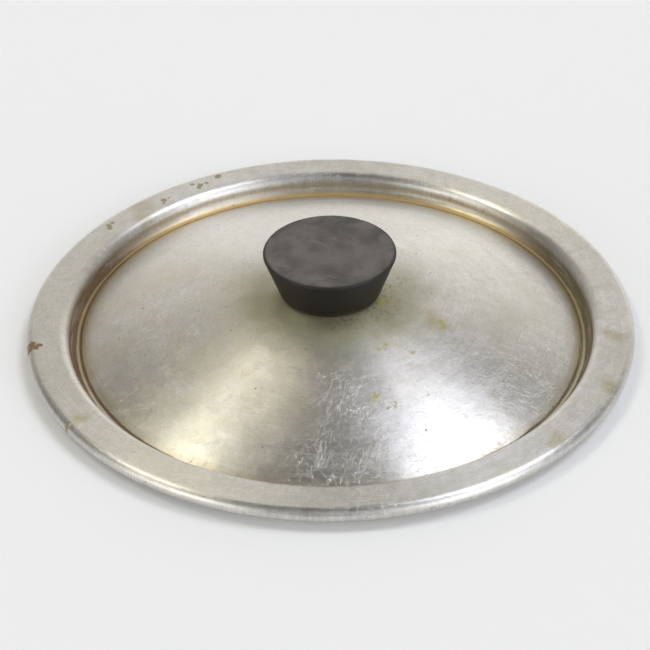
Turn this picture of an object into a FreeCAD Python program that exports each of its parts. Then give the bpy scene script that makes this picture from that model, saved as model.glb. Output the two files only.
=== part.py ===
"""Pressed steel pan lid with a phenolic knob held by one screw.

Millimetres, +Z up. The origin is on the lid's axis, in the plane that the lid stands on: the
flat underside of the groove that runs round the foot of the dome.
"""
import FreeCAD, Part
import math
import os

from FreeCAD import Vector

# ---- driving dimensions -------------------------------------------------------------------

# Sheet metal lid. Radii and heights are those of the visible upper face.
SHEET = 0.8                 # thickness of the pressed sheet
RIM_RADIUS = 114.25         # outside of the rolled rim
ROLL_RADIUS = 2.9           # outer radius of the rolled rim's own section
ROLL_TURN = 300.0           # degrees that the edge is rolled round
FLANGE_INNER = 102.4        # where the flat flange ends and the step begins
STEP_DEPTH = 7.6            # flange face down to the groove's floor
SHOULDER_RADIUS = 3.6       # convex bend at the top of the step
FILLET_RADIUS = 3.0         # concave bend at the bottom of the step
GROOVE_FLOOR = 0.8          # flat width of the groove's floor
CREASE_RADIUS = 0.7         # tight bend where the groove meets the dome
DOME_FOOT_ANGLE = 21.8      # slope of the dome where it leaves the groove, degrees
CROWN_ANGLE = 4.6           # slope of the dome where it meets the knob's seat, degrees
CROWN_RADIUS = 60.0         # bend between the dome and the flat seat
SEAT_RADIUS = 15.5          # flat pressed seat for the knob

# Fixing screw and what it passes through.
SCREW_RADIUS = 2.0
RUNNING_CLEARANCE = 0.08    # radial, between the screw and the hole in the sheet
LOOSE_CLEARANCE = 0.15      # radial, between the screw and its washers
THREAD_CLEARANCE = 0.05     # radial, between the screw and the insert's bore
SCREW_LENGTH = 14.0         # under the head
SCREW_CHAMFER = 0.6
HEAD_RADIUS = 4.0
HEAD_HEIGHT = 2.6
HEAD_EDGE = 1.1             # rounding of the head's outer edge
SLOT_WIDTH = 1.0
SLOT_DEPTH = 1.2

# Washers.
SEAT_WASHER_THICKNESS = 0.6
SEAT_WASHER_RADIUS = 17.4
LID_WASHER_THICKNESS = 1.0
LID_WASHER_RADIUS = 7.0
SPRING_WASHER_THICKNESS = 1.1
SPRING_WASHER_RADIUS = 3.7
SPRING_WASHER_GAP = 0.7
SPRING_WASHER_SKEW = 20.0   # slant of the split, degrees

# Knob and its insert.
KNOB_FOOT_RADIUS = 18.8
KNOB_TOP_RADIUS = 25.1      # before its edge is rounded
KNOB_HEIGHT = 17.0          # above the seat washer
KNOB_FOOT_EDGE = 1.0
KNOB_TOP_EDGE = 0.9
RELIEF_INNER = 6.5          # moulded relief in the underside, round the insert's boss
RELIEF_OUTER = 14.0
RELIEF_DEPTH = 8.0
RELIEF_DRAFT = 0.6
INSERT_RADIUS = 4.0
INSERT_LENGTH = 11.0
INSERT_NECK_RADIUS = 3.3
INSERT_COLLAR = 3.5         # height of the knurled collar at each end
KNURL_COUNT = 16
KNURL_RADIUS = 0.35

# ---- the lid's section, worked out from them ----------------------------------------------

def sine(degrees):
    return math.sin(math.radians(degrees))


def drop(degrees):
    """How far a bend of radius 1 falls as it turns from level through this angle."""
    return 1 - math.cos(math.radians(degrees))


STEP_BENDS = SHOULDER_RADIUS + FILLET_RADIUS
WALL_LENGTH = STEP_DEPTH - STEP_BENDS
DOME_FOOT = FLANGE_INNER - STEP_BENDS - GROOVE_FLOOR - CREASE_RADIUS * sine(DOME_FOOT_ANGLE)
CROWN_EDGE = SEAT_RADIUS + CROWN_RADIUS * sine(CROWN_ANGLE)
DOME_RADIUS = (DOME_FOOT - CROWN_EDGE) / (sine(DOME_FOOT_ANGLE) - sine(CROWN_ANGLE))
DOME_DROP = DOME_RADIUS * (drop(DOME_FOOT_ANGLE) - drop(CROWN_ANGLE))
CROWN_DROP = CROWN_RADIUS * drop(CROWN_ANGLE)
CREASE_DROP = CREASE_RADIUS * drop(DOME_FOOT_ANGLE)

# Heights above the plane that the lid stands on.
SEAT_TOP = SHEET + CREASE_DROP + DOME_DROP + CROWN_DROP
SEAT_UNDERSIDE = SEAT_TOP - SHEET
KNOB_FOOT = SEAT_TOP + SEAT_WASHER_THICKNESS
KNOB_TOP = KNOB_FOOT + KNOB_HEIGHT
LID_WASHER_UNDERSIDE = SEAT_UNDERSIDE - LID_WASHER_THICKNESS
HEAD_TOP = LID_WASHER_UNDERSIDE - SPRING_WASHER_THICKNESS

AXIS = Vector(0, 0, 1)
ORIGIN = Vector(0, 0, 0)


# ---- helpers ------------------------------------------------------------------------------

def point(radius, height):
    """A point of a section, drawn in the XZ plane."""
    return Vector(radius, 0, height)


def arc(start, middle, end):
    return Part.Arc(start, middle, end).toShape()


def line(start, end):
    return Part.LineSegment(start, end).toShape()


def revolve(edges):
    """Turn a closed section about the lid's axis into a solid."""
    face = Part.Face(Part.Wire(edges))
    solid = face.revolve(ORIGIN, AXIS, 360)
    if solid.Volume < 0:
        solid.reverse()
    return solid


def outline(points):
    """A closed section with straight sides."""
    closed = points + points[:1]
    return [line(a, b) for a, b in zip(closed, closed[1:])]


def ring(inner, outer, bottom, top):
    """A plain ring between two radii and two heights."""
    corners = [point(inner, bottom), point(outer, bottom), point(outer, top), point(inner, top)]
    return revolve(outline(corners))


def save(shape, node):
    shape.exportStep("parts/" + node + ".step")
    print(node, "valid", shape.isValid(), "solids", len(shape.Solids), "volume", round(shape.Volume, 1))


class SheetPath:
    """The section of a bent sheet, followed along its upper face.

    Each call goes on from where the last one stopped, tangent to it. Headings are in degrees
    from the outward direction, and a positive bend turns upwards.
    """

    def __init__(self, radius, height, heading):
        self.place = point(radius, height)
        self.heading = math.radians(heading)
        self.upper = []
        self.lower = []

    def normal(self, heading):
        return point(-math.sin(heading), math.cos(heading))

    def below(self, place, heading):
        return place - self.normal(heading) * SHEET

    def straight(self, length):
        end = self.place + point(math.cos(self.heading), math.sin(self.heading)) * length
        self.upper.append(line(self.place, end))
        self.lower.append(line(self.below(self.place, self.heading), self.below(end, self.heading)))
        self.place = end

    def bend(self, radius, turn):
        turn = math.radians(turn)
        side = math.copysign(1, turn)
        centre = self.place + self.normal(self.heading) * radius * side
        headings = [self.heading + turn * share for share in (0, 0.5, 1)]
        upper = [centre - self.normal(h) * radius * side for h in headings]
        lower = [self.below(place, h) for place, h in zip(upper, headings)]
        self.upper.append(arc(*upper))
        self.lower.append(arc(*lower))
        self.place = upper[-1]
        self.heading = headings[-1]

    def section(self):
        """Both faces and the two cut edges, in order."""
        first_cut = line(self.lower[0].firstVertex().Point, self.upper[0].firstVertex().Point)
        last_cut = line(self.upper[-1].lastVertex().Point, self.lower[-1].lastVertex().Point)
        return [first_cut] + self.upper + [last_cut] + self.lower[::-1]


# ---- the pieces ---------------------------------------------------------------------------

def build_shell():
    """One pressed sheet, followed from the screw hole out to the end of the rolled rim."""
    hole = SCREW_RADIUS + RUNNING_CLEARANCE
    path = SheetPath(hole, SEAT_TOP, 0)
    path.straight(SEAT_RADIUS - hole)
    path.bend(CROWN_RADIUS, -CROWN_ANGLE)
    path.bend(DOME_RADIUS, CROWN_ANGLE - DOME_FOOT_ANGLE)
    path.bend(CREASE_RADIUS, DOME_FOOT_ANGLE)
    path.straight(GROOVE_FLOOR)
    path.bend(FILLET_RADIUS, 90)
    path.straight(WALL_LENGTH)
    path.bend(SHOULDER_RADIUS, -90)
    path.straight(RIM_RADIUS - ROLL_RADIUS - FLANGE_INNER)
    path.bend(ROLL_RADIUS, -ROLL_TURN)
    return revolve(path.section())


def build_insert():
    """Brass insert: two knurled collars with a plain neck that the moulding grips."""
    bore = SCREW_RADIUS + THREAD_CLEARANCE
    top = KNOB_FOOT + INSERT_LENGTH
    low_collar = KNOB_FOOT + INSERT_COLLAR
    high_collar = top - INSERT_COLLAR
    insert = revolve(outline([
        point(bore, KNOB_FOOT),
        point(INSERT_RADIUS, KNOB_FOOT),
        point(INSERT_RADIUS, low_collar),
        point(INSERT_NECK_RADIUS, low_collar),
        point(INSERT_NECK_RADIUS, high_collar),
        point(INSERT_RADIUS, high_collar),
        point(INSERT_RADIUS, top),
        point(bore, top),
    ]))
    flutes = []
    for index in range(KNURL_COUNT):
        angle = 2 * math.pi * index / KNURL_COUNT
        place = Vector(INSERT_RADIUS * math.cos(angle), INSERT_RADIUS * math.sin(angle), KNOB_FOOT)
        flutes.append(Part.makeCylinder(KNURL_RADIUS, INSERT_LENGTH, place, AXIS))
    return insert.cut(flutes)


def build_knob(insert):
    """Tapered phenolic knob, moulded round the insert, with a relief in its underside."""
    body = revolve(outline([
        point(0, KNOB_FOOT),
        point(KNOB_FOOT_RADIUS, KNOB_FOOT),
        point(KNOB_TOP_RADIUS, KNOB_TOP),
        point(0, KNOB_TOP),
    ]))
    edges = {round(edge.BoundBox.ZMax, 3): edge for edge in body.Edges if edge.Closed}
    body = body.makeFillet(KNOB_TOP_EDGE, [edges[round(KNOB_TOP, 3)]])
    edges = {round(edge.BoundBox.ZMax, 3): edge for edge in body.Edges if edge.Closed}
    body = body.makeFillet(KNOB_FOOT_EDGE, [edges[round(KNOB_FOOT, 3)]])
    relief = revolve(outline([
        point(RELIEF_INNER, KNOB_FOOT),
        point(RELIEF_OUTER, KNOB_FOOT),
        point(RELIEF_OUTER - RELIEF_DRAFT, KNOB_FOOT + RELIEF_DEPTH),
        point(RELIEF_INNER + RELIEF_DRAFT, KNOB_FOOT + RELIEF_DEPTH),
    ]))
    bore = Part.makeCylinder(SCREW_RADIUS + THREAD_CLEARANCE, INSERT_LENGTH, Vector(0, 0, KNOB_FOOT), AXIS)
    return body.cut([relief, bore, insert])


def build_screw():
    """Slotted pan head screw, head down, pointing up into the insert."""
    tip = HEAD_TOP + SCREW_LENGTH
    head_bottom = HEAD_TOP - HEAD_HEIGHT
    corner = point(HEAD_RADIUS - HEAD_EDGE, head_bottom + HEAD_EDGE)
    diagonal = HEAD_EDGE * math.sqrt(0.5)
    profile = [
        line(point(0, head_bottom), point(corner.x, head_bottom)),
        arc(point(corner.x, head_bottom), corner + point(diagonal, -diagonal), point(HEAD_RADIUS, corner.z)),
        line(point(HEAD_RADIUS, corner.z), point(HEAD_RADIUS, HEAD_TOP)),
        line(point(HEAD_RADIUS, HEAD_TOP), point(SCREW_RADIUS, HEAD_TOP)),
        line(point(SCREW_RADIUS, HEAD_TOP), point(SCREW_RADIUS, tip - SCREW_CHAMFER)),
        line(point(SCREW_RADIUS, tip - SCREW_CHAMFER), point(SCREW_RADIUS - SCREW_CHAMFER, tip)),
        line(point(SCREW_RADIUS - SCREW_CHAMFER, tip), point(0, tip)),
        line(point(0, tip), point(0, head_bottom)),
    ]
    slot = Part.makeBox(2 * HEAD_RADIUS, SLOT_WIDTH, SLOT_DEPTH,
                        Vector(-HEAD_RADIUS, -SLOT_WIDTH / 2, head_bottom))
    return revolve(profile).cut(slot)


def build_spring_washer():
    """Split lock washer, drawn as it is when clamped flat."""
    washer = ring(SCREW_RADIUS + LOOSE_CLEARANCE, SPRING_WASHER_RADIUS, HEAD_TOP, LID_WASHER_UNDERSIDE)
    height = SPRING_WASHER_THICKNESS
    split = Part.makeBox(SPRING_WASHER_RADIUS * 2, SPRING_WASHER_GAP, 3 * height,
                         Vector(0, -SPRING_WASHER_GAP / 2, -1.5 * height))
    split.rotate(ORIGIN, Vector(1, 0, 0), SPRING_WASHER_SKEW)
    split.translate(Vector(0, 0, HEAD_TOP + height / 2))
    return washer.cut(split)


os.makedirs("parts", exist_ok=True)
knob_insert = build_insert()
washer_bore = SCREW_RADIUS + LOOSE_CLEARANCE
seat_washer = ring(washer_bore, SEAT_WASHER_RADIUS, SEAT_TOP, KNOB_FOOT)
lid_washer = ring(washer_bore, LID_WASHER_RADIUS, LID_WASHER_UNDERSIDE, SEAT_UNDERSIDE)

save(build_shell(), "lid_shell")
save(build_knob(knob_insert), "knob")
save(knob_insert, "knob_insert")
save(seat_washer, "knob_seat_washer")
save(lid_washer, "lid_washer")
save(build_spring_washer(), "spring_washer")
save(build_screw(), "knob_screw")
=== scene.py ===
"""Look of a well used pressed steel pan lid with a black phenolic knob.

Lengths are in millimetres in the code and become metres when a mesh, light or camera is made.
The frame's origin is on the lid's axis, in the plane that the lid stands on, with +Z up.
"""

import math

import bpy
from mathutils import Matrix, Vector, noise


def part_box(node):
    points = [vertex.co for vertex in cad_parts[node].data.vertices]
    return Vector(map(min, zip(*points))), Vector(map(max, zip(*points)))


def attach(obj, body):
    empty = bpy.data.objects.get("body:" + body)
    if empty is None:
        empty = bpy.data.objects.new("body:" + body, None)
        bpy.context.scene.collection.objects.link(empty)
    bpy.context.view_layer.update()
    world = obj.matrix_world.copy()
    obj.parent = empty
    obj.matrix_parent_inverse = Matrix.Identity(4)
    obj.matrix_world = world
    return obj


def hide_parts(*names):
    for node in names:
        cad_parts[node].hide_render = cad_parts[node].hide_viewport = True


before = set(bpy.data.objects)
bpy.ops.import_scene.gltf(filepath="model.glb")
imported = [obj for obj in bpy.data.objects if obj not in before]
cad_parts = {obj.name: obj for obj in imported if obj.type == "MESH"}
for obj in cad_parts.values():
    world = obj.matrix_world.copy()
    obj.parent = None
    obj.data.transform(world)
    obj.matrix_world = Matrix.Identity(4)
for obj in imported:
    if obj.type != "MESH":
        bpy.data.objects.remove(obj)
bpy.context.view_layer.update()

MM = 0.001

# ---- sizes taken from the frame -----------------------------------------------------------

def node_size(node):
    """Lowest and highest corner of a CAD node, in millimetres."""
    low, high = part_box(node)
    return low / MM, high / MM


shell_low, shell_high = node_size("lid_shell")
knob_low, knob_high = node_size("knob")
insert_low, insert_high = node_size("knob_insert")
seat_low, seat_high = node_size("knob_seat_washer")
washer_low, washer_high = node_size("lid_washer")
spring_low, spring_high = node_size("spring_washer")
screw_low, screw_high = node_size("knob_screw")

RIM_RADIUS = shell_high.x
SEAT_TOP = shell_high.z

# The pressed sheet's section, as in the CAD part.
SHEET = 0.8
ROLL_RADIUS = 2.9
ROLL_TURN = 300.0
FLANGE_INNER = 102.4
STEP_DEPTH = 7.6
SHOULDER_RADIUS = 3.6
FILLET_RADIUS = 3.0
GROOVE_FLOOR = 0.8
CREASE_RADIUS = 0.7
DOME_FOOT_ANGLE = 21.8
CROWN_ANGLE = 4.6
CROWN_RADIUS = 60.0
SEAT_RADIUS = 15.5
HOLE_RADIUS = 2.08
FLANGE_TOP = STEP_DEPTH + SHEET

STEP_BENDS = SHOULDER_RADIUS + FILLET_RADIUS
FOOT_SINE = math.sin(math.radians(DOME_FOOT_ANGLE))
CROWN_SINE = math.sin(math.radians(CROWN_ANGLE))
DOME_FOOT = FLANGE_INNER - STEP_BENDS - GROOVE_FLOOR - CREASE_RADIUS * FOOT_SINE
CROWN_EDGE = SEAT_RADIUS + CROWN_RADIUS * CROWN_SINE
DOME_RADIUS = (DOME_FOOT - CROWN_EDGE) / (FOOT_SINE - CROWN_SINE)

# Distances along the sheet's upper face, from the screw hole, at which its bends end.
DOME_END = (SEAT_RADIUS - HOLE_RADIUS + CROWN_RADIUS * math.radians(CROWN_ANGLE)
            + DOME_RADIUS * math.radians(DOME_FOOT_ANGLE - CROWN_ANGLE))
GROOVE_END = DOME_END + CREASE_RADIUS * math.radians(DOME_FOOT_ANGLE) + GROOVE_FLOOR
FILLET_END = GROOVE_END + FILLET_RADIUS * math.pi / 2
SHOULDER_START = FILLET_END + STEP_DEPTH - STEP_BENDS
SHOULDER_END = SHOULDER_START + SHOULDER_RADIUS * math.pi / 2
FLANGE_END = SHOULDER_END + RIM_RADIUS - ROLL_RADIUS - FLANGE_INNER
STEP_WALL = FLANGE_INNER - SHOULDER_RADIUS

# The knob and its hardware, as in the CAD part.
KNOB_FOOT_RADIUS = 18.8
KNOB_TOP_RADIUS = 25.1
KNOB_FOOT_EDGE = 1.0
KNOB_TOP_EDGE = 0.9
RELIEF_INNER = 6.5
RELIEF_OUTER = 14.0
RELIEF_DEPTH = 8.0
RELIEF_DRAFT = 0.6
RELIEF_EDGE = 0.3
RELIEF_CORNER = 0.5
BORE_EDGE = 0.2
EDGE_WEAR = 0.5              # how far a chip in the knob's top edge goes in
EDGE_WEAR_DOWN = 0.22
INSERT_RADIUS = 3.95
INSERT_NECK_RADIUS = 3.3
INSERT_COLLAR = 3.5
INSERT_EDGE = 0.25
KNURL_DEPTH = 0.25
KNURL_COUNT = 16
SCREW_RADIUS = 2.0
THREAD_PITCH = 0.7
THREAD_DEPTH = 0.36
THREAD_CLEARANCE = 0.05
LOOSE_CLEARANCE = 0.15
SCREW_CHAMFER = 0.6
HEAD_RADIUS = 4.0
HEAD_HEIGHT = 2.6
HEAD_EDGE = 1.1
HEAD_LIP = 0.15
THREAD_STEPS = 8             # rings along one turn of a thread
SLOT_WIDTH = 1.0
SLOT_DEPTH = 1.2
SPRING_WASHER_GAP = 0.7
SPRING_WASHER_SKEW = 20.0

LID_SEGMENTS = 480
KNOB_SEGMENTS = 192

# How far the sheet is out of true.
FLANGE_WAVE = 0.26
DOME_WAVE = 0.10
RIM_KNOCK = 0.22

# Look of the metal. Each set of scratches has its direction in degrees, its width and its length.
BASE_ROUGHNESS = 0.34
ANISOTROPY = 0.72
SCRATCH_SETS = ((8, 0.36, 9.0), (52, 0.32, 6.0), (97, 0.34, 5.0), (-35, 0.38, 7.0), (-72, 0.32, 5.0))


# ---- mesh helpers -------------------------------------------------------------------------

class Section:
    """Points of a section in the plane of radius and height, drawn like a pen."""

    def __init__(self, radius, height, heading=0.0):
        self.points = [(radius, height)]
        self.heading = math.radians(heading)

    def straight(self, length, steps=1):
        radius, height = self.points[-1]
        for step in range(1, steps + 1):
            part = length * step / steps
            self.points.append((radius + part * math.cos(self.heading),
                                height + part * math.sin(self.heading)))

    def bend(self, bend_radius, turn, steps):
        turn = math.radians(turn)
        side = math.copysign(1.0, turn)
        radius, height = self.points[-1]
        centre_radius = radius - side * bend_radius * math.sin(self.heading)
        centre_height = height + side * bend_radius * math.cos(self.heading)
        for step in range(1, steps + 1):
            heading = self.heading + turn * step / steps
            self.points.append((centre_radius + side * bend_radius * math.sin(heading),
                                centre_height - side * bend_radius * math.cos(heading)))
        self.heading += turn


def make_object(name, vertices, faces, smooth=True):
    mesh = bpy.data.meshes.new(name)
    mesh.from_pydata([(x * MM, y * MM, z * MM) for x, y, z in vertices], [], faces)
    mesh.validate()
    mesh.update()
    mesh.shade_smooth() if smooth else mesh.shade_flat()
    made = bpy.data.objects.new(name, mesh)
    bpy.context.scene.collection.objects.link(made)
    return made


def turned(name, points, segments, closed=False, shape=None):
    """A section turned about Z. A point at radius 0 becomes a single vertex.

    shape(radius, height, angle, index) may move a point a little, for dents and wear.
    """
    vertices = []
    rings = []
    for index, (radius, height) in enumerate(points):
        if radius < 1e-6:
            rings.append([len(vertices)] * segments)
            vertices.append((0.0, 0.0, height))
            continue
        ring = []
        for segment in range(segments):
            angle = 2 * math.pi * segment / segments
            r, z = shape(radius, height, angle, index) if shape else (radius, height)
            ring.append(len(vertices))
            vertices.append((r * math.cos(angle), r * math.sin(angle), z))
        rings.append(ring)
    pairs = list(zip(rings, rings[1:]))
    if closed:
        pairs.append((rings[-1], rings[0]))
    faces = []
    for lower, upper in pairs:
        for segment in range(segments):
            after = (segment + 1) % segments
            corners = [lower[segment], lower[after], upper[after], upper[segment]]
            face = list(dict.fromkeys(corners))
            faces.append(face)
    return make_object(name, vertices, faces)


# ---- shader helpers -----------------------------------------------------------------------

class Graph:
    """Short names for the shader nodes that the materials use."""

    def __init__(self, name):
        self.material = bpy.data.materials.new(name)
        self.material.use_nodes = True
        self.tree = self.material.node_tree
        self.surface = self.tree.nodes["Principled BSDF"]

    def plug(self, socket, value):
        if isinstance(value, bpy.types.NodeSocket):
            self.tree.links.new(value, socket)
        elif socket.type == "RGBA":
            socket.default_value = (*value, 1.0)
        else:
            socket.default_value = value

    def node(self, kind, inputs, **settings):
        made = self.tree.nodes.new(kind)
        for key, value in settings.items():
            setattr(made, key, value)
        for key, value in inputs.items():
            self.plug(made.inputs[key], value)
        return made

    def math(self, operation, *values):
        return self.node("ShaderNodeMath", dict(enumerate(values)), operation=operation).outputs[0]

    def product(self, *values):
        total = values[0]
        for value in values[1:]:
            total = self.math("MULTIPLY", total, value)
        return total

    def greatest(self, *values):
        total = values[0]
        for value in values[1:]:
            total = self.math("MAXIMUM", total, value)
        return total

    def vector(self, operation, *values, out="Vector"):
        made = self.node("ShaderNodeVectorMath", dict(enumerate(values)), operation=operation)
        return made.outputs[out]

    def position(self):
        """The point on the object, in millimetres."""
        coords = self.node("ShaderNodeTexCoord", {}).outputs["Object"]
        return self.vector("MULTIPLY", coords, (1 / MM, 1 / MM, 1 / MM))

    def separate(self, vector):
        return self.node("ShaderNodeSeparateXYZ", {"Vector": vector}).outputs

    def combine(self, x, y, z):
        return self.node("ShaderNodeCombineXYZ", {"X": x, "Y": y, "Z": z}).outputs[0]

    def noise(self, vector, scale, detail=3.0, roughness=0.55, distortion=0.0, out="Fac"):
        inputs = {"Vector": vector, "Scale": scale, "Detail": detail, "Roughness": roughness,
                  "Distortion": distortion}
        return self.node("ShaderNodeTexNoise", inputs).outputs[out]

    def cells(self, vector, scale, out="Distance"):
        return self.node("ShaderNodeTexVoronoi", {"Vector": vector, "Scale": scale}).outputs[out]

    def span(self, value, low, high, to_low=0.0, to_high=1.0):
        """A smooth step of value from low to high. low may be the greater."""
        inputs = {"Value": value, "From Min": low, "From Max": high, "To Min": to_low, "To Max": to_high}
        made = self.node("ShaderNodeMapRange", inputs, interpolation_type="SMOOTHSTEP")
        return made.outputs[0]

    def mix(self, share, first, second):
        made = self.node("ShaderNodeMix", {}, data_type="RGBA")
        self.plug(made.inputs[0], share)
        self.plug(made.inputs[6], first)
        self.plug(made.inputs[7], second)
        return made.outputs[2]

    def blend(self, share, first, second):
        """Mix of two numbers."""
        made = self.node("ShaderNodeMix", {}, data_type="FLOAT")
        self.plug(made.inputs[0], share)
        self.plug(made.inputs[2], first)
        self.plug(made.inputs[3], second)
        return made.outputs[0]

    def bump(self, height, distance):
        """A bump of that height field. distance is in millimetres."""
        return self.node("ShaderNodeBump", {"Height": height, "Distance": distance * MM}).outputs[0]

    def attribute(self, name):
        return self.node("ShaderNodeAttribute", {}, attribute_name=name).outputs["Fac"]

    def set(self, **values):
        for key, value in values.items():
            self.plug(self.surface.inputs[key.replace("_", " ")], value)


# ---- the lid's sheet ----------------------------------------------------------------------

def ripple(angle, waves, seed):
    """A closed smooth noise round the lid, about -1 to 1."""
    spot = Vector((math.cos(angle) * waves, math.sin(angle) * waves, seed))
    return noise.noise(spot) * 1.6


def lid_sections():
    """Upper and lower face of the sheet, from the screw hole to the end of the rolled rim."""
    upper = Section(HOLE_RADIUS, SEAT_TOP)
    lower = Section(HOLE_RADIUS, SEAT_TOP - SHEET)
    for pen, inside in ((upper, 0.0), (lower, SHEET)):
        pen.straight(SEAT_RADIUS - HOLE_RADIUS, 4)
        pen.bend(CROWN_RADIUS - inside, -CROWN_ANGLE, 4)
        pen.bend(DOME_RADIUS - inside, CROWN_ANGLE - DOME_FOOT_ANGLE, 44)
        pen.bend(CREASE_RADIUS + inside, DOME_FOOT_ANGLE, 5)
        pen.straight(GROOVE_FLOOR, 2)
        pen.bend(FILLET_RADIUS + inside, 90, 12)
        pen.straight(STEP_DEPTH - STEP_BENDS, 2)
        pen.bend(SHOULDER_RADIUS - inside, -90, 16)
        pen.straight(RIM_RADIUS - ROLL_RADIUS - FLANGE_INNER, 6)
        pen.bend(ROLL_RADIUS - inside, -ROLL_TURN, 44)
    return upper.points, lower.points


def knocked(radius, height, angle, index):
    """The sheet is a little out of true: a wavy flange, and a rim that knocks have flattened."""
    outer = max(0.0, min(1.0, (radius - STEP_WALL) / (RIM_RADIUS - STEP_WALL)))
    dome = max(0.0, min(1.0, (DOME_FOOT - radius) / 20.0)) * min(1.0, (radius - SEAT_RADIUS) / 10.0)
    lift = FLANGE_WAVE * outer * ripple(angle, 1.3, 2.0)
    lift += DOME_WAVE * max(0.0, dome) * ripple(angle, 2.1 + radius / 60, 8.0)
    knock = max(0.0, ripple(angle, 4.0, 5.0) - 0.45)
    return radius - RIM_KNOCK * outer * knock, height + lift


def build_lid():
    upper, lower = lid_sections()
    lid = turned("lid_sheet", upper + lower[::-1], LID_SEGMENTS, closed=True, shape=knocked)
    distances = [0.0]
    for (r0, z0), (r1, z1) in zip(upper, upper[1:]):
        distances.append(distances[-1] + math.hypot(r1 - r0, z1 - z0))
    along = lid.data.attributes.new("along", "FLOAT", "POINT")
    inside = lid.data.attributes.new("inside", "FLOAT", "POINT")
    rows = distances + distances[::-1]
    along.data.foreach_set("value", [row for row in rows for _ in range(LID_SEGMENTS)])
    inside.data.foreach_set("value", [float(index >= len(upper)) for index in range(len(rows))
                                      for _ in range(LID_SEGMENTS)])
    return lid


# ---- the knob and its hardware ------------------------------------------------------------

def build_knob():
    """Moulded body: open relief underneath, blind hole for the insert, softened edges."""
    foot, top = knob_low.z, knob_high.z
    taper = math.degrees(math.atan2(top - foot, KNOB_TOP_RADIUS - KNOB_FOOT_RADIUS))
    slant = math.hypot(top - foot, KNOB_TOP_RADIUS - KNOB_FOOT_RADIUS)
    foot_trim = KNOB_FOOT_EDGE * math.tan(math.radians(taper / 2))
    top_trim = KNOB_TOP_EDGE * math.tan(math.radians((180 - taper) / 2))
    roof = foot + RELIEF_DEPTH
    ceiling = insert_high.z
    roof_inner = RELIEF_INNER + RELIEF_DRAFT
    roof_outer = RELIEF_OUTER - RELIEF_DRAFT
    inner = [(0.0, ceiling), (INSERT_RADIUS, ceiling),
             (INSERT_RADIUS, foot + BORE_EDGE), (INSERT_RADIUS + BORE_EDGE, foot),
             (RELIEF_INNER - RELIEF_EDGE, foot), (RELIEF_INNER, foot + RELIEF_EDGE),
             (roof_inner, roof - RELIEF_CORNER), (roof_inner + RELIEF_CORNER, roof),
             (roof_outer - RELIEF_CORNER, roof), (roof_outer, roof - RELIEF_CORNER),
             (RELIEF_OUTER, foot + RELIEF_EDGE), (RELIEF_OUTER + RELIEF_EDGE, foot)]
    pen = Section(*inner[-1])
    pen.straight(KNOB_FOOT_RADIUS - foot_trim - inner[-1][0], 3)
    pen.bend(KNOB_FOOT_EDGE, taper, 10)
    pen.straight(slant - foot_trim - top_trim, 24)
    pen.bend(KNOB_TOP_EDGE, 180 - taper, 12)
    pen.straight(pen.points[-1][0], 30)
    points = inner + pen.points[1:-1] + [(0.0, top)]

    def worn(radius, height, angle, index):
        share = (height - foot) / (top - foot)
        edge = max(0.0, 1 - abs(share - 1) / 0.06) * max(0.0, min(1.0, (radius - 22) / 2))
        spot = Vector((radius * math.cos(angle) * 0.35, radius * math.sin(angle) * 0.35, height * 0.35))
        chip = max(0.0, noise.noise(spot * 2.2) - 0.28)
        return radius - EDGE_WEAR * edge * chip, height - EDGE_WEAR_DOWN * edge * chip

    return turned("knob_moulding", points, KNOB_SEGMENTS, shape=worn)


def thread_depth(height, angle):
    """How deep the screw thread is cut there, as a share of its full depth."""
    turn = (height / THREAD_PITCH - angle / (2 * math.pi)) % 1.0
    return max(0.0, min(1.0, 2.4 * (0.5 - abs(turn - 0.5)) - 0.15))


def build_insert():
    """Brass insert: two knurled collars, a plain neck and a threaded bore."""
    low, high = insert_low.z, insert_high.z
    bore = SCREW_RADIUS + THREAD_CLEARANCE
    collars = ((low, low + INSERT_COLLAR), (high - INSERT_COLLAR, high))
    points = []
    for start, end in collars:
        points += [(INSERT_NECK_RADIUS, start), (INSERT_RADIUS - INSERT_EDGE, start)]
        points += [(INSERT_RADIUS, start + INSERT_EDGE + (end - start - 2 * INSERT_EDGE) * step / 6)
                   for step in range(7)]
        points += [(INSERT_RADIUS - INSERT_EDGE, end), (INSERT_NECK_RADIUS, end)]
    points = [(bore, low)] + points + [(bore, high)]
    count = round((high - low) / THREAD_PITCH * THREAD_STEPS)
    points += [(bore, high - (high - low) * step / count) for step in range(1, count)]

    def cut(radius, height, angle, index):
        if radius > INSERT_NECK_RADIUS + 0.4:
            flute = max(0.0, math.cos(KNURL_COUNT * 2 * angle)) ** 2
            return radius - KNURL_DEPTH * flute, height
        if radius < SCREW_RADIUS + 0.1 and low < height < high:
            return radius - THREAD_DEPTH * thread_depth(height, angle), height
        return radius, height

    return turned("insert_brass", points, 192, closed=True, shape=cut)


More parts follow.
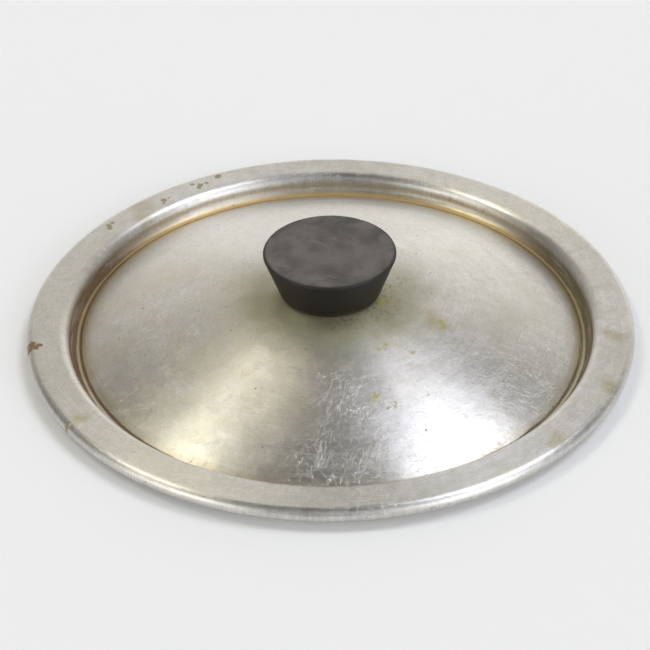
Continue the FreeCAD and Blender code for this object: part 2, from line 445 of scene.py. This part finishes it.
def build_screw():
    """Slotted pan head screw, head down, with its thread running up into the insert."""
    bottom, tip = screw_low.z, screw_high.z
    shoulder = bottom + HEAD_HEIGHT
    pen = Section(0.0, bottom)
    pen.straight(HEAD_RADIUS - HEAD_EDGE, 6)
    pen.bend(HEAD_EDGE, 90, 8)
    pen.straight(HEAD_HEIGHT - HEAD_EDGE - HEAD_LIP, 2)
    points = pen.points + [(HEAD_RADIUS - HEAD_LIP, shoulder), (SCREW_RADIUS + HEAD_LIP, shoulder),
                           (SCREW_RADIUS, shoulder + HEAD_LIP)]
    run = tip - SCREW_CHAMFER - shoulder - HEAD_LIP
    count = round(run / THREAD_PITCH * THREAD_STEPS)
    points += [(SCREW_RADIUS, shoulder + HEAD_LIP + run * step / count) for step in range(1, count + 1)]
    points += [(SCREW_RADIUS - SCREW_CHAMFER, tip), (0.0, tip)]
    thread_start = seat_low.z

    def cut(radius, height, angle, index):
        if height < thread_start or radius < SCREW_RADIUS - 0.01:
            return radius, height
        run_in = min(1.0, (height - thread_start) / THREAD_PITCH)
        return radius - THREAD_DEPTH * run_in * thread_depth(height, angle), height

    screw = turned("screw_slotted", points, 96, shape=cut)
    long, half = 1.2 * HEAD_RADIUS, SLOT_WIDTH / 2
    floor = bottom + SLOT_DEPTH
    corners = [(x, y, z) for z in (bottom - 1, floor) for x, y in
               ((-long, -half), (long, -half), (long, half), (-long, half))]
    faces = [(3, 2, 1, 0), (4, 5, 6, 7), (0, 1, 5, 4), (1, 2, 6, 5), (2, 3, 7, 6), (3, 0, 4, 7)]
    cutter = make_object("slot_cutter", corners, faces, smooth=False)
    trim = screw.modifiers.new("slot", "BOOLEAN")
    trim.object = cutter
    trim.operation = "DIFFERENCE"
    trim.solver = "EXACT"
    bake_modifiers(screw)
    bpy.data.objects.remove(cutter)
    return screw


def bake_modifiers(piece):
    """Leave the piece as the plain mesh that its modifiers make."""
    depsgraph = bpy.context.evaluated_depsgraph_get()
    done = bpy.data.meshes.new_from_object(piece.evaluated_get(depsgraph))
    piece.modifiers.clear()
    piece.data = done


def build_spring_washer():
    """Split lock washer: a bar bent round, its two cut ends a little out of line."""
    low, high = spring_low.z, spring_high.z
    inner, outer = SCREW_RADIUS + LOOSE_CLEARANCE, spring_high.x
    ease = 0.12
    section = [(inner + ease, low), (outer - ease, low), (outer, low + ease), (outer, high - ease),
               (outer - ease, high), (inner + ease, high), (inner, high - ease), (inner, low + ease)]
    gap = SPRING_WASHER_GAP / (inner + outer)
    steps = 72
    skew = math.tan(math.radians(SPRING_WASHER_SKEW))
    vertices = []
    for step in range(steps + 1):
        share = step / steps
        end_lean = abs(2 * share - 1) ** 8
        for radius, height in section:
            lean = (height - (low + high) / 2) * skew / radius * end_lean
            angle = gap + (2 * math.pi - 2 * gap) * share + lean
            vertices.append((radius * math.cos(angle), radius * math.sin(angle), height))
    count = len(section)
    faces = [tuple(range(count))[::-1], tuple(steps * count + index for index in range(count))]
    for step in range(steps):
        for index in range(count):
            after = (index + 1) % count
            near, far = step * count, (step + 1) * count
            faces.append((near + index, near + after, far + after, far + index))
    return make_object("spring_washer_split", vertices, faces)


def build_washer(name, inner, outer, low, high, ease, wave=0.0):
    """A flat ring with softened edges."""
    points = [(inner + ease, low)]
    points += [(inner + ease + (outer - inner - 2 * ease) * step / 6, low) for step in range(1, 7)]
    points += [(outer, low + ease), (outer, high - ease)]
    points += [(outer - ease - (outer - inner - 2 * ease) * step / 6, high) for step in range(7)]
    points += [(inner, high - ease), (inner, low + ease)]

    def uneven(radius, height, angle, index):
        return radius - wave * (1 + ripple(angle, 5.0, 3.0)) * (radius > outer - 1), height

    return turned(name, points, 144, closed=True, shape=uneven)


# ---- materials ----------------------------------------------------------------------------

# Marks of wear on the sheet: distance from the axis, direction in degrees, size. The direction
# is counted from +X towards +Y, which is away from the camera.
GOLDEN_ANGLE = 137.5         # degrees, turns each mark well away from the one before
PIT_COUNT = 18
PIT_SPREAD = 0.755           # share of the reach between one pit and the next, so that no two line up
PIT_SIZE = 0.6
PIT_INNER = 38.0
PIT_REACH = 72.0


def cluster(radius, degrees, count, spread, size):
    """Marks wound outwards round one place, each a little smaller than the one before."""
    found = []
    for index in range(count):
        step = spread * math.sqrt(index / count)
        turn = math.radians(index * GOLDEN_ANGLE)
        along = math.degrees(step * math.sin(turn) / radius)
        found.append((radius + step * math.cos(turn), degrees + along, size * (1 - 0.5 * index / count)))
    return found


def clusters(*places):
    return [mark for place in places for mark in cluster(*place)]


def scattered_pits():
    return [(PIT_INNER + PIT_REACH * (index * PIT_SPREAD % 1), index * GOLDEN_ANGLE, PIT_SIZE)
            for index in range(PIT_COUNT)]


# Each cluster: distance from the axis, degrees round it, number of marks, spread, largest size.
PITS = scattered_pits()
CHIPS = clusters((109, 145, 3, 3, 2.6), (106, 130, 3, 3, 2.2), (107, 120, 4, 4, 2.6), (110, 115, 2, 2, 2.2),
                 (113, -145, 1, 0, 2.0))
RUST = clusters((112, -170, 6, 3, 3.2))
STAINS = clusters((109, -145, 2, 3, 5.0), (107, -10, 2, 5, 6.0), (110, -25, 3, 4, 6.0), (110, -45, 3, 4, 5.0),
                  (43, -25, 2, 5, 8.0), (108, 135, 2, 12, 9.0))
FLAKES = clusters((60, -75, 3, 2, 2.4), (65, -70, 3, 3, 1.6), (39, -60, 3, 3, 2.2), (46, -50, 1, 0, 2.2),
                  (46, -25, 2, 3, 3.4), (21, -25, 4, 4, 2.6), (36, -105, 2, 5, 1.6))


def spot(mark):
    radius, degrees, _ = mark
    angle = math.radians(degrees)
    return radius * math.cos(angle), radius * math.sin(angle)


def marks(g, place, group, soft=0.35):
    """1 inside any mark of the group, 0 outside."""
    near = []
    for mark in group:
        x, y = spot(mark)
        away = g.vector("DISTANCE", place, (x, y, 0.0), out="Value")
        near.append(g.span(away, mark[2] * (1 + soft) / 2, mark[2] * (1 - soft) / 2))
    return g.greatest(*near)


def hairlines(g, flat, degrees, seed, width, length, threshold):
    """Thin straight scratches in one direction: a noise drawn out along it and cut off high."""
    turned_to = g.node("ShaderNodeVectorRotate", {"Vector": flat, "Angle": math.radians(degrees)},
                       rotation_type="Z_AXIS").outputs[0]
    stretched = g.vector("MULTIPLY", turned_to, (1 / length, 1 / width, 1.0))
    shifted = g.vector("ADD", stretched, (seed, seed * 1.7, seed))
    return g.span(g.noise(shifted, 1.0, detail=1.0, roughness=0.4), threshold, threshold + 0.05)


def relief(g, *layers):
    """A height field: the sum of its layers, each times its own height."""
    total = g.math("MULTIPLY", *layers[0])
    for layer, height in layers[1:]:
        total = g.math("MULTIPLY_ADD", layer, height, total)
    return total


# ---- the sheet's steel --------------------------------------------------------------------

BRUSHED_DARK = (0.61, 0.592, 0.582)
BRUSHED_BRIGHT = (0.735, 0.715, 0.705)
WARM_PATCH = (0.61, 0.585, 0.525)
CLOUD_DARK = (0.56, 0.555, 0.50)
CLOUD_BRIGHT = (0.71, 0.675, 0.67)
LEFT_TINT = (0.585, 0.55, 0.465)
# A painted sheen: a lighter colour for the back of the dome.
BACK_PAINTED_SHEEN = (0.76, 0.755, 0.735)
FLECK = (0.48, 0.465, 0.43)
SMUDGE = (0.57, 0.55, 0.515)
BRIGHT_SCRATCH = (0.86, 0.85, 0.83)
DARK_SCRATCH = (0.33, 0.30, 0.25)
HALO_GREASE = (0.31, 0.295, 0.165)
GREASE_CRUMB = (0.24, 0.19, 0.07)
GROOVE_OLIVE = (0.15, 0.115, 0.045)
GROOVE_RUST = (0.13, 0.062, 0.017)
GROOVE_GOLD = (0.42, 0.25, 0.07)
GROOVE_GRIT = (0.085, 0.05, 0.018)
# The light gold band beside the groove is partly grease, partly a painted reflection of the step's wall.
GROOVE_HAZE_AND_PAINTED_REFLECTION = (0.48, 0.41, 0.25)
FILM_FRONT = (0.33, 0.245, 0.115)
# The film's light gold back colour is partly grease, partly a painted reflection of the step's wall.
FILM_BACK_AND_PAINTED_REFLECTION = (0.60, 0.44, 0.19)
STAIN = (0.42, 0.37, 0.19)
GREASE_FLAKE = (0.40, 0.36, 0.13)
BROWN_CHIP = (0.24, 0.20, 0.07)
RUST_SPOT = (0.19, 0.10, 0.03)
DARK_PIT = (0.05, 0.042, 0.036)
DULL_NICK = (0.32, 0.29, 0.24)


class Sheet:
    """The places and noises that the parts of the sheet's look share."""

    def __init__(self, g):
        self.g = g
        x, y, _ = g.separate(g.position())
        self.flat = g.combine(x, y, 0.0)
        self.radius = g.vector("LENGTH", self.flat, out="Value")
        self.across = g.math("DIVIDE", x, self.radius)
        self.away = g.math("DIVIDE", y, self.radius)
        self.along = g.attribute("along")
        self.top_side = g.math("SUBTRACT", 1.0, g.attribute("inside"))

        self.brushing = g.noise(self.ringwise(1.6, 5.0), 1.0, detail=4.0, roughness=0.62)
        self.patch = g.noise(self.ringwise(0.5, 7.0, 3.0), 1.0, detail=4.0, roughness=0.7)
        self.blotch = g.noise(self.shifted(40.0, -15.0, 3.0), 0.07, detail=5.0, roughness=0.65,
                              distortion=0.8)
        self.clouds = g.noise(self.shifted(9.0, 70.0, 5.0), 0.16, detail=5.0, roughness=0.7, distortion=0.6)
        self.grain = g.noise(self.flat, 0.9, detail=3.0, roughness=0.7)
        warp = g.noise(self.flat, 0.45, detail=3.0, roughness=0.5, out="Color")
        warp = g.vector("SUBTRACT", warp, (0.5, 0.5, 0.5))
        self.warped = g.vector("MULTIPLY_ADD", warp, (3.2, 3.2, 0.0), self.flat)
        self.slight = g.vector("MULTIPLY_ADD", warp, (1.0, 1.0, 0.0), self.flat)

    def shifted(self, x, y, z):
        return self.g.vector("ADD", self.flat, (x, y, z))

    def ringwise(self, fine, around, shift=0.0):
        """Space drawn out round the lid, for brush marks and bands."""
        g = self.g
        return g.combine(g.math("MULTIPLY_ADD", self.along, fine, shift),
                         g.math("MULTIPLY", self.across, around), g.math("MULTIPLY", self.away, around))


def bare_metal(g, s):
    """Colour of the brushed metal, greyer and yellower in patches, with a painted sheen on the back of the
    dome.
    """
    colour = g.mix(g.span(s.brushing, 0.3, 0.7), BRUSHED_DARK, BRUSHED_BRIGHT)
    mottle = g.noise(s.flat, 0.022, detail=4.0, roughness=0.6, distortion=0.4)
    colour = g.mix(g.product(g.span(mottle, 0.4, 0.68), 0.8), colour, WARM_PATCH)
    colour = g.mix(g.product(g.span(s.clouds, 0.45, 0.62), 0.45), colour, CLOUD_DARK)
    colour = g.mix(g.product(g.span(s.clouds, 0.47, 0.36), 0.35), colour, CLOUD_BRIGHT)
    left = g.product(g.span(s.across, 0.3, -0.9), g.span(s.radius, 101.0, 96.0, 0.35, 1.0))
    colour = g.mix(g.product(left, g.span(s.blotch, 0.25, 0.7)), colour, LEFT_TINT)
    # Painted sheen: the back of the dome is painted lighter, in place of its brighter reflection.
    back = g.product(g.span(s.away, 0.2, 0.9), g.span(s.radius, 98.0, 90.0))
    colour = g.mix(g.product(back, 0.5), colour, BACK_PAINTED_SHEEN)
    flecks = g.noise(g.vector("MULTIPLY", s.flat, (0.8, 1.5, 1.0)), 1.0, detail=2.0, roughness=0.6)
    colour = g.mix(g.product(g.span(flecks, 0.50, 0.70), 0.42), colour, FLECK)
    smudges = g.noise(s.shifted(-30.0, 22.0, 9.0), 0.11, detail=5.0, roughness=0.7, distortion=1.0)
    smudges = g.product(g.span(smudges, 0.48, 0.64), g.span(s.radius, 98.0, 102.0, 0.25, 0.75))
    return g.mix(smudges, colour, SMUDGE)


def bright_scratches(g, s):
    """Fine scratches in every direction, from years of wiping and stacking."""
    sets = [hairlines(g, s.slight, degrees, 3.1 * index, width, length, 0.66)
            for index, (degrees, width, length) in enumerate(SCRATCH_SETS)]
    patchy = g.span(g.noise(s.flat, 0.035, detail=2.0), 0.35, 0.62, 0.35, 1.0)
    return g.product(g.greatest(*sets), patchy, s.top_side)


def dark_scratches(g, s):
    """Dark lines: straight ones in two directions, and short dashes along the brushing."""
    dashes = g.noise(s.ringwise(1.8, 24.0, 11.0), 1.0, detail=2.0, roughness=0.5)
    dashes = g.product(g.span(dashes, 0.62, 0.72), g.span(s.clouds, 0.4, 0.55))
    lines = g.greatest(hairlines(g, s.slight, -10, 21.0, 0.36, 6.0, 0.68),
                       hairlines(g, s.slight, 33, 25.0, 0.32, 5.0, 0.69), dashes)
    return g.product(lines, s.top_side)


def knob_grease(g, s):
    """A greasy halo round the knob, thickest in front, and crumbs at its foot, most on the right."""
    ragged = g.math("MULTIPLY_ADD", g.math("SUBTRACT", s.blotch, 0.5), 26.0, s.radius)
    front = g.span(s.away, 0.9, -0.4, 0.35, 1.0)
    halo = g.product(g.span(ragged, 50.0, 24.0), front, s.top_side)
    crumbs = g.span(g.noise(s.warped, 0.55, detail=4.0, roughness=0.7), 0.50, 0.62)
    near_foot = g.product(g.span(ragged, 33.0, 21.0), g.span(s.across, -0.7, 0.5, 0.25, 1.0))
    return halo, g.product(crumbs, near_foot, front, s.top_side)


def groove_colour(g, s):
    """Burnt grease: rust brown on the left, golden at the back, olive on the right, gritty all round."""
    side = g.mix(g.span(s.across, -0.2, -0.85), GROOVE_OLIVE, GROOVE_RUST)
    tone = g.mix(g.span(s.away, 0.45, 0.9), side, GROOVE_GOLD)
    return g.mix(g.product(g.span(s.grain, 0.42, 0.68), 0.75), tone, GROOVE_GRIT)


def groove_grease(g, s):
    """Burnt grease, thick in the groove's two bends, as a film between them and as a light gold band beside,
    which is partly grease and partly a painted reflection.
    """
    reach = g.math("MULTIPLY_ADD", g.math("SUBTRACT", s.patch, 0.5), 1.2, s.along)
    fillet = g.product(g.span(reach, GROOVE_END + 0.1, GROOVE_END + 0.8),
                       g.span(reach, SHOULDER_START + 1.0, FILLET_END - 0.9),
                       g.span(s.away, 0.85, 0.35, 0.10, 1.0))
    crease = g.product(g.span(reach, DOME_END - 1.0, DOME_END - 0.2),
                       g.span(reach, DOME_END + 0.9, DOME_END + 0.3))
    thick = g.product(g.greatest(fillet, crease), g.span(s.patch, 0.3, 0.55, 0.68, 1.0), s.top_side)
    film = g.product(g.span(reach, DOME_END - 4.5, DOME_END - 0.5),
                     g.span(reach, GROOVE_END + 2.6, GROOVE_END + 0.8),
                     g.span(s.away, -0.75, 0.1, 0.25, 0.9), s.top_side)
    # A light gold band all round the dome's foot and the groove: partly grease, partly a painted reflection
    # of the step's wall.
    haze_and_reflection = g.product(g.span(s.along, DOME_END - 9.0, DOME_END),
                     g.span(s.along, SHOULDER_START + 1.0, FILLET_END),
                     g.span(s.patch, 0.35, 0.7), s.top_side, 0.5)
    return thick, film, haze_and_reflection


def single_marks(g, s):
    """Pits, chips, rust, stains and flakes of grease."""
    chance = g.separate(g.cells(s.flat, 0.085, out="Color"))[0]
    dots = g.product(g.span(g.cells(s.flat, 0.085), 0.035, 0.02), g.math("GREATER_THAN", chance, 0.55))
    pits = g.product(g.greatest(marks(g, s.slight, PITS), dots), s.top_side)
    chips = g.product(marks(g, s.warped, CHIPS), s.top_side)
    rust = g.product(marks(g, s.warped, RUST), s.top_side)
    stains = g.product(marks(g, s.warped, STAINS, soft=0.9), g.span(s.blotch, 0.30, 0.55), s.top_side)
    flakes = g.product(marks(g, s.warped, FLAKES, soft=0.5), s.top_side, g.span(s.grain, 0.28, 0.50))
    return pits, chips, rust, stains, flakes


def rim_nicks(g, s):
    """Dull nicks in the scraped rolled rim."""
    rim = g.product(g.span(s.along, FLANGE_END - 0.5, FLANGE_END + 1.2), s.top_side)
    nicks = g.noise(s.ringwise(1.6, 60.0, 5.0), 1.0, detail=3.0, roughness=0.7)
    return g.product(rim, g.span(nicks, 0.60, 0.72))


def sheet_roughness(g, s, halo, dirt):
    """Satin brushing, rougher in the halo, on the step's wall and under dirt."""
    bands = g.noise(s.ringwise(0.22, 1.6, 7.0), 1.0, detail=2.0)
    rough = g.span(bands, 0.25, 0.75, BASE_ROUGHNESS - 0.03, BASE_ROUGHNESS + 0.04)
    rough = g.math("MULTIPLY_ADD", g.math("SUBTRACT", s.brushing, 0.5), 0.09, rough)
    rough = g.math("MULTIPLY_ADD", halo, 0.14, rough)
    wall = g.product(g.span(s.along, GROOVE_END, FILLET_END), g.span(s.along, SHOULDER_END, SHOULDER_START))
    rough = g.math("MULTIPLY_ADD", wall, 0.05, rough)
    return g.blend(dirt, rough, 0.6)


def steel_material():
    """Satin sheet, brushed round and round, scratched, stained, with old grease in the groove."""
    g = Graph("worn_steel")
    s = Sheet(g)
    scratches = bright_scratches(g, s)
    dark_lines = dark_scratches(g, s)
    halo, crumbs = knob_grease(g, s)
    grease, film, haze_and_reflection = groove_grease(g, s)
    pits, chips, rust, stains, flakes = single_marks(g, s)
    nicks = rim_nicks(g, s)

    # Each layer over the bare metal: where it is, how strong, its colour.
    # The film is darker brown in front and goes light gold towards the back: partly grease, partly a painted
    # reflection of the step's wall.
    film_and_reflection_colour = g.mix(g.span(s.away, 0.3, 0.9), FILM_FRONT, FILM_BACK_AND_PAINTED_REFLECTION)
    layers = (
        (scratches, 0.40, BRIGHT_SCRATCH),
        (dark_lines, 0.45, DARK_SCRATCH),
        (halo, 0.85, HALO_GREASE),
        (crumbs, 0.8, GREASE_CRUMB),
        (haze_and_reflection, 1.0, GROOVE_HAZE_AND_PAINTED_REFLECTION),
        (film, 1.0, film_and_reflection_colour),
        (grease, 0.94, groove_colour(g, s)),
        (stains, 0.6, STAIN),
        (flakes, 0.85, GREASE_FLAKE),
        (chips, 0.85, BROWN_CHIP),
        (rust, 0.95, RUST_SPOT),
        (pits, 0.85, DARK_PIT),
        (nicks, 0.6, DULL_NICK),
    )
    colour = bare_metal(g, s)
    for layer, strength, paint in layers:
        colour = g.mix(g.product(layer, strength), colour, paint)

    dirt = g.greatest(grease, rust, chips, g.product(flakes, 0.6))
    dull = g.greatest(g.product(halo, 0.75), g.product(film, 0.6), g.product(scratches, 0.16))
    metallic = g.math("MULTIPLY_ADD", g.greatest(dirt, dull), -0.75, 1.0)
    dents = g.noise(s.flat, 0.055, detail=2.0)
    height = relief(g, (s.brushing, 0.006), (scratches, -0.014), (dark_lines, -0.016), (dents, 0.20),
                    (s.clouds, 0.018), (s.grain, 0.011), (dirt, 0.03), (pits, -0.06), (nicks, -0.02))
    tangent = g.node("ShaderNodeTangent", {}, direction_type="RADIAL", axis="Z").outputs[0]
    g.set(Base_Color=colour, Metallic=metallic, Roughness=sheet_roughness(g, s, halo, dirt),
          Anisotropic=ANISOTROPY, Anisotropic_Rotation=0.25, Tangent=tangent, Normal=g.bump(height, 1.0))
    return g.material


# ---- the knob's phenolic and the small hardware -------------------------------------------

# Colours of the knob's top: partly a worn dull film, partly painted light.
TOP_DARK_WORN_AND_PAINTED_LIGHT = (0.056, 0.050, 0.045)
TOP_GREY_WORN_AND_PAINTED_LIGHT = (0.122, 0.109, 0.100)
TOP_WIPED_WORN_AND_PAINTED_LIGHT = (0.150, 0.138, 0.126)
SIDE_DARK = (0.0115, 0.009, 0.007)
SIDE_BROWN = (0.019, 0.0152, 0.012)
PALE_SPECK = (0.26, 0.25, 0.23)
FOOT_GREASE = (0.085, 0.06, 0.035)
SCUFF = (0.2, 0.19, 0.175)
FIBRE_DARK = (0.040, 0.028, 0.018)
FIBRE_BROWN = (0.085, 0.060, 0.036)
FIBRE_GREASE = (0.12, 0.075, 0.03)


def phenolic_material():
    """Black moulding gone dull: lighter grey on top, partly a worn dull film and partly painted light, darker
    on the side, greasy at the foot.
    """
    g = Graph("black_phenolic")
    place = g.position()
    x, y, z = g.separate(place)
    radius = g.vector("LENGTH", g.combine(x, y, 0.0), out="Value")
    cloud = g.noise(place, 0.065, detail=5.0, roughness=0.55, distortion=0.4)
    wipe = g.noise(g.vector("ADD", place, (8.0, 5.0, 2.0)), 0.11, detail=4.0, roughness=0.5, distortion=0.7)
    grain = g.noise(place, 2.4, detail=3.0, roughness=0.7)

    # The top is painted lighter than the side: partly a worn dull film, partly painted light falling on the
    # top.
    top = g.product(g.span(z, knob_high.z - 0.5, knob_high.z - 0.1),
                    g.span(radius, KNOB_TOP_RADIUS - 0.6, KNOB_TOP_RADIUS - 2.0))
    top_worn_and_painted_light = g.mix(g.span(cloud, 0.36, 0.64), TOP_DARK_WORN_AND_PAINTED_LIGHT, TOP_GREY_WORN_AND_PAINTED_LIGHT)
    top_worn_and_painted_light = g.mix(g.product(g.span(wipe, 0.5, 0.7), 0.55), top_worn_and_painted_light, TOP_WIPED_WORN_AND_PAINTED_LIGHT)
    side = g.mix(g.span(cloud, 0.3, 0.7), SIDE_DARK, SIDE_BROWN)
    colour = g.mix(top, side, top_worn_and_painted_light)

    chance = g.separate(g.cells(place, 0.42, out="Color"))[0]
    specks = g.product(g.span(g.cells(place, 0.42), 0.075, 0.045), g.math("GREATER_THAN", chance, 0.72))
    colour = g.mix(g.product(specks, 0.35), colour, PALE_SPECK)
    foot = g.product(g.span(z, knob_low.z + 2.6, knob_low.z + 0.3), g.span(radius, 16.0, 17.5),
                     g.span(cloud, 0.35, 0.6, 0.3, 1.0))
    colour = g.mix(g.product(foot, 0.5), colour, FOOT_GREASE)
    scuffs = g.greatest(hairlines(g, place, 25, 1.0, 0.22, 7.0, 0.68),
                        hairlines(g, place, -50, 4.0, 0.2, 5.0, 0.69))
    colour = g.mix(g.product(scuffs, top, 0.3), colour, SCUFF)

    rough = g.span(cloud, 0.3, 0.7, 0.46, 0.58)
    rough = g.math("MULTIPLY_ADD", g.math("SUBTRACT", grain, 0.5), 0.12, rough)
    height = relief(g, (grain, 0.012), (cloud, 0.05), (scuffs, -0.012))
    g.set(Base_Color=colour, Roughness=rough, Specular_IOR_Level=0.36, Normal=g.bump(height, 1.0))
    return g.material


def small_metal(name, dark, bright, soil, roughness):
    """Turned or pressed hardware: fine tool marks and dulled, greasy patches."""
    g = Graph(name)
    place = g.position()
    x, y, z = g.separate(place)
    radius = g.vector("LENGTH", g.combine(x, y, 0.0), out="Value")
    tooling = g.noise(g.combine(g.product(radius, 7.0), g.product(z, 7.0), 0.5), 1.0, detail=2.0)
    patches = g.noise(place, 0.5, detail=4.0, roughness=0.65)
    grain = g.noise(place, 5.0, detail=2.0)
    grime = g.span(patches, 0.5, 0.68)
    colour = g.mix(g.span(tooling, 0.3, 0.7), dark, bright)
    colour = g.mix(g.product(grime, 0.7), colour, soil)
    rough = g.span(patches, 0.3, 0.7, roughness - 0.06, roughness + 0.16)
    height = relief(g, (grain, 0.004), (tooling, 0.008))
    g.set(Base_Color=colour, Metallic=g.math("MULTIPLY_ADD", grime, -0.45, 1.0), Roughness=rough,
          Normal=g.bump(height, 1.0))
    return g.material


def fibre_material():
    """Dark vulcanised fibre with baked grease."""
    g = Graph("dark_fibre")
    place = g.position()
    threads = g.noise(g.vector("MULTIPLY", place, (3.0, 0.8, 3.0)), 1.0, detail=4.0, roughness=0.7)
    patches = g.noise(place, 0.35, detail=4.0)
    colour = g.mix(g.span(threads, 0.3, 0.7), FIBRE_DARK, FIBRE_BROWN)
    colour = g.mix(g.span(patches, 0.45, 0.65), colour, FIBRE_GREASE)
    g.set(Base_Color=colour, Roughness=g.span(patches, 0.3, 0.7, 0.55, 0.8), Normal=g.bump(threads, 0.03))
    return g.material


# ---- pieces -------------------------------------------------------------------------------

def place_piece(piece, material, body, node):
    piece.data.materials.clear()
    piece.data.materials.append(material)
    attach(piece, body)
    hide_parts(node)


place_piece(build_lid(), steel_material(), "lid", "lid_shell")
place_piece(build_knob(), phenolic_material(), "knob_assembly", "knob")
brass = small_metal("aged_brass", (0.50, 0.36, 0.15), (0.66, 0.49, 0.22), (0.16, 0.10, 0.04), 0.34)
place_piece(build_insert(), brass, "knob_assembly", "knob_insert")
seat_washer = build_washer("seat_washer_ring", SCREW_RADIUS + LOOSE_CLEARANCE, seat_high.x, seat_low.z,
                           seat_high.z, 0.12, wave=0.08)
place_piece(seat_washer, fibre_material(), "knob_assembly", "knob_seat_washer")
plated = small_metal("dull_plating", (0.40, 0.385, 0.36), (0.55, 0.54, 0.51), (0.17, 0.11, 0.06), 0.36)
lid_washer = build_washer("lid_washer_ring", SCREW_RADIUS + LOOSE_CLEARANCE, washer_high.x, washer_low.z,
                          washer_high.z, 0.15)
place_piece(lid_washer, plated, "lid", "lid_washer")
spring = small_metal("dark_spring_steel", (0.20, 0.19, 0.18), (0.32, 0.31, 0.30), (0.13, 0.07, 0.035), 0.34)
place_piece(build_spring_washer(), spring, "knob_assembly", "spring_washer")
screw_metal = small_metal("worn_screw", (0.34, 0.32, 0.29), (0.52, 0.50, 0.46), (0.19, 0.10, 0.05), 0.32)
place_piece(build_screw(), screw_metal, "knob_assembly", "knob_screw")


# ---- floor, light and camera --------------------------------------------------------------

# The studio: softboxes, each with its direction round from +X towards +Y and above the floor, and
# the size of its even middle, all in degrees, then how sharp its edge is, its brightness and colour.
SOFTBOXES = (
    (16, 63, 11.5, 140.0, 5.8, (0.95, 0.98, 1.09)),
    (-41, 17, 0.0, 14.0, 3.9, (0.97, 1.0, 1.05)),
    (108, 54, 0.0, 200.0, 3.8, (1.0, 0.93, 0.70)),
    (168, 58, 6.0, 220.0, 9.0, (1.03, 1.02, 0.88)),
    (81, -10, 0.0, 2.6, 1.64, (1.0, 0.985, 0.94)),
    (-143, 9, 0.0, 16.0, 3.8, (1.0, 1.0, 0.95)),
    (-90, 36, 0.0, 11.0, 0.5, (1.0, 0.98, 0.97)),
)


def set_world():
    """A dark studio with soft round lights, so that the metal has something to reflect."""
    world = bpy.data.worlds.new("studio")
    bpy.context.scene.world = world
    world.use_nodes = True
    tree = world.node_tree
    gaze = tree.nodes.new("ShaderNodeTexCoord").outputs["Generated"]
    total = None
    for around, up, size, sharpness, brightness, colour in SOFTBOXES:
        around, up = math.radians(around), math.radians(up)
        towards = tree.nodes.new("ShaderNodeVectorMath")
        towards.operation = "DOT_PRODUCT"
        towards.inputs[1].default_value = (math.cos(up) * math.cos(around), math.cos(up) * math.sin(around),
                                           math.sin(up))
        tree.links.new(gaze, towards.inputs[0])
        fall = tree.nodes.new("ShaderNodeMath")
        fall.operation = "MULTIPLY_ADD"
        fall.inputs[1].default_value = sharpness
        fall.inputs[2].default_value = -sharpness * math.cos(math.radians(size))
        tree.links.new(towards.outputs["Value"], fall.inputs[0])
        glow = tree.nodes.new("ShaderNodeMath")
        glow.operation = "EXPONENT"
        glow.use_clamp = True
        tree.links.new(fall.outputs[0], glow.inputs[0])
        tint = tree.nodes.new("ShaderNodeVectorMath")
        tint.operation = "MULTIPLY_ADD"
        tint.inputs[1].default_value = [channel * brightness for channel in colour]
        tree.links.new(glow.outputs[0], tint.inputs[0])
        if total is not None:
            tree.links.new(total, tint.inputs[2])
        total = tint.outputs[0]
    tree.links.new(total, tree.nodes["Background"].inputs["Color"])


FLOOR_COLOUR = (0.80, 0.80, 0.80)
FLOOR_GLOW = 0.12            # an even faint light of its own, so that the floor reads as pale paper
FLOOR_HALF = 3000.0


def make_floor():
    size = FLOOR_HALF
    corners = [(-size, -size, 0), (size, -size, 0), (size, size, 0), (-size, size, 0)]
    floor = make_object("floor", corners, [(0, 1, 2, 3)])
    g = Graph("floor_paper")
    g.set(Base_Color=FLOOR_COLOUR, Roughness=0.9, Specular_IOR_Level=0.1)
    g.set(Emission_Color=FLOOR_COLOUR, Emission_Strength=FLOOR_GLOW)
    floor.data.materials.append(g.material)


CAMERA_ELEVATION = 35.3      # degrees
CAMERA_DISTANCE = 718.0      # from the lid's axis at the height of the flange
CAMERA_LENS = 105.2
CAMERA_YAW = 0.17            # degrees off the lid's axis, like the pitch and roll
CAMERA_PITCH = -0.4
CAMERA_ROLL = 0.77


def place_camera():
    data = bpy.data.cameras.new("camera")
    data.lens = CAMERA_LENS
    data.sensor_width = 36.0
    camera = bpy.data.objects.new("camera", data)
    bpy.context.scene.collection.objects.link(camera)
    elevation = math.radians(CAMERA_ELEVATION)
    target = Vector((0, 0, FLANGE_TOP))
    offset = Vector((0, -math.cos(elevation), math.sin(elevation))) * CAMERA_DISTANCE
    forward = -offset.normalized()
    right = Vector((1, 0, 0))
    up = right.cross(forward)
    yaw = Matrix.Rotation(math.radians(CAMERA_YAW), 3, up)
    forward, right = yaw @ forward, yaw @ right
    pitch = Matrix.Rotation(math.radians(CAMERA_PITCH), 3, right)
    forward, up = pitch @ forward, pitch @ up
    roll = Matrix.Rotation(math.radians(CAMERA_ROLL), 3, forward)
    right, up = roll @ right, roll @ up
    turn = Matrix((right, up, -forward)).transposed()
    camera.matrix_world = Matrix.Translation((target + offset) * MM) @ turn.to_4x4()
    data.clip_start = 0.01
    bpy.context.scene.camera = camera


make_floor()
set_world()
place_camera()
bpy.context.scene.view_settings.view_transform = "Standard"
